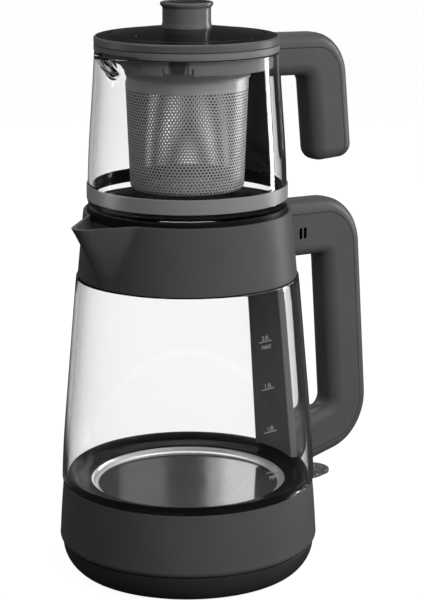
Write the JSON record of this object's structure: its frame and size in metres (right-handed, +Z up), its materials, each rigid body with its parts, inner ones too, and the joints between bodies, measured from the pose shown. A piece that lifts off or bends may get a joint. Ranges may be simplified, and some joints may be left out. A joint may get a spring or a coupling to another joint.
{
  "type": "automatic tea maker",
  "caption": "Electric glass kettle on a turning power base, with a glass teapot, a perforated infuser and a lid stacked on the kettle's mouth.",
  "frame": {"origin": "on the round axis of the kettle, at the level of the table under the feet", "axes": "+Z up along the round axis; +X towards the handles; -X towards the spouts; the level marks face -Y"},
  "size_m": [0.2519, 0.1752, 0.37],
  "materials": {
    "satin_grey_plastic": "satin moulded plastic",
    "dark_base_plastic": "fine matte moulded plastic",
    "black_plastic": "semi-gloss",
    "smoked_plastic": "smooth dark plastic",
    "lever_plastic": "translucent grey",
    "clear_glass": "clear borosilicate",
    "brushed_band": "brushed around",
    "infuser_steel": "perforated sheet",
    "polished_steel": "fine satin",
    "screw_steel": "zinc plated",
    "contact_brass": "plated contact",
    "cast_aluminium": "as cast",
    "silicone_seal": "silicone",
    "foot_rubber": "matte",
    "lamp_lens": "tinted lens"
  },
  "bodies": {
    "power_base": {"base_shell": "dark_base_plastic", "base_bottom_cover": "dark_base_plastic", "base_feet": "foot_rubber", "base_screws": "screw_steel", "base_connector": "black_plastic", "base_contact_rings": "contact_brass", "cord_gland": "black_plastic"},
    "turning_pin": {"centre_pin": "contact_brass"},
    "kettle": {"base_collar": "satin_grey_plastic", "kettle_bottom_cover": "dark_base_plastic", "collar_screws": "screw_steel", "kettle_connector": "black_plastic", "connector_blades": "contact_brass", "control_body": "black_plastic", "heating_plate": "polished_steel", "heat_diffuser": "cast_aluminium", "heating_element": "cast_aluminium", "plate_seal": "silicone_seal", "plate_clamp_ring": "black_plastic", "glass_foot_gasket": "silicone_seal", "kettle_glass": "clear_glass", "glass_mouth_gasket": "silicone_seal", "upper_collar": "satin_grey_plastic", "teapot_seat": "black_plastic", "steam_duct": "smoked_plastic", "handle_shell": "satin_grey_plastic", "handle_cover": "satin_grey_plastic", "handle_screws": "screw_steel", "lever_pin": "screw_steel", "switch_frame": "black_plastic", "bimetal_disc": "polished_steel", "indicator_lamp": "lamp_lens"},
    "switch": {"switch_lever": "lever_plastic"},
    "teapot": {"teapot_glass": "clear_glass", "teapot_band": "brushed_band", "neck_gasket": "silicone_seal", "neck_ring": "satin_grey_plastic", "teapot_strap": "smoked_plastic", "teapot_handle_shell": "satin_grey_plastic", "teapot_handle_cover": "satin_grey_plastic", "teapot_handle_screws": "screw_steel"},
    "infuser": {"infuser_rim": "brushed_band", "infuser_basket": "infuser_steel", "infuser_floor": "infuser_steel"},
    "lid": {"lid_disc": "satin_grey_plastic", "lid_seal": "silicone_seal", "lid_knob": "satin_grey_plastic", "knob_cap": "black_plastic", "knob_screw": "screw_steel"}
  },
  "joints": [
    {"name": "kettle_swivel", "type": "hinge", "parent": "power_base", "child": "turning_pin", "pos_m": [0, 0, 0.02], "axis": [0, 0, 1], "continuous": true},
    {"name": "kettle_lift", "type": "slide", "parent": "turning_pin", "child": "kettle", "axis": [0, 0, 1], "range_m": [0, 0.06]},
    {"name": "switch_press", "type": "hinge", "parent": "kettle", "child": "switch", "pos_m": [0.0755, 0, 0.0355], "axis": [0, 1, 0], "range_deg": [0, 12]},
    {"name": "teapot_lift", "type": "slide", "parent": "kettle", "child": "teapot", "axis": [0, 0, 1], "range_m": [0, 0.08]},
    {"name": "infuser_lift", "type": "slide", "parent": "teapot", "child": "infuser", "axis": [0, 0, 1], "range_m": [0, 0.11]},
    {"name": "lid_lift", "type": "slide", "parent": "infuser", "child": "lid", "axis": [0, 0, 1], "range_m": [0, 0.06]}
  ]
}
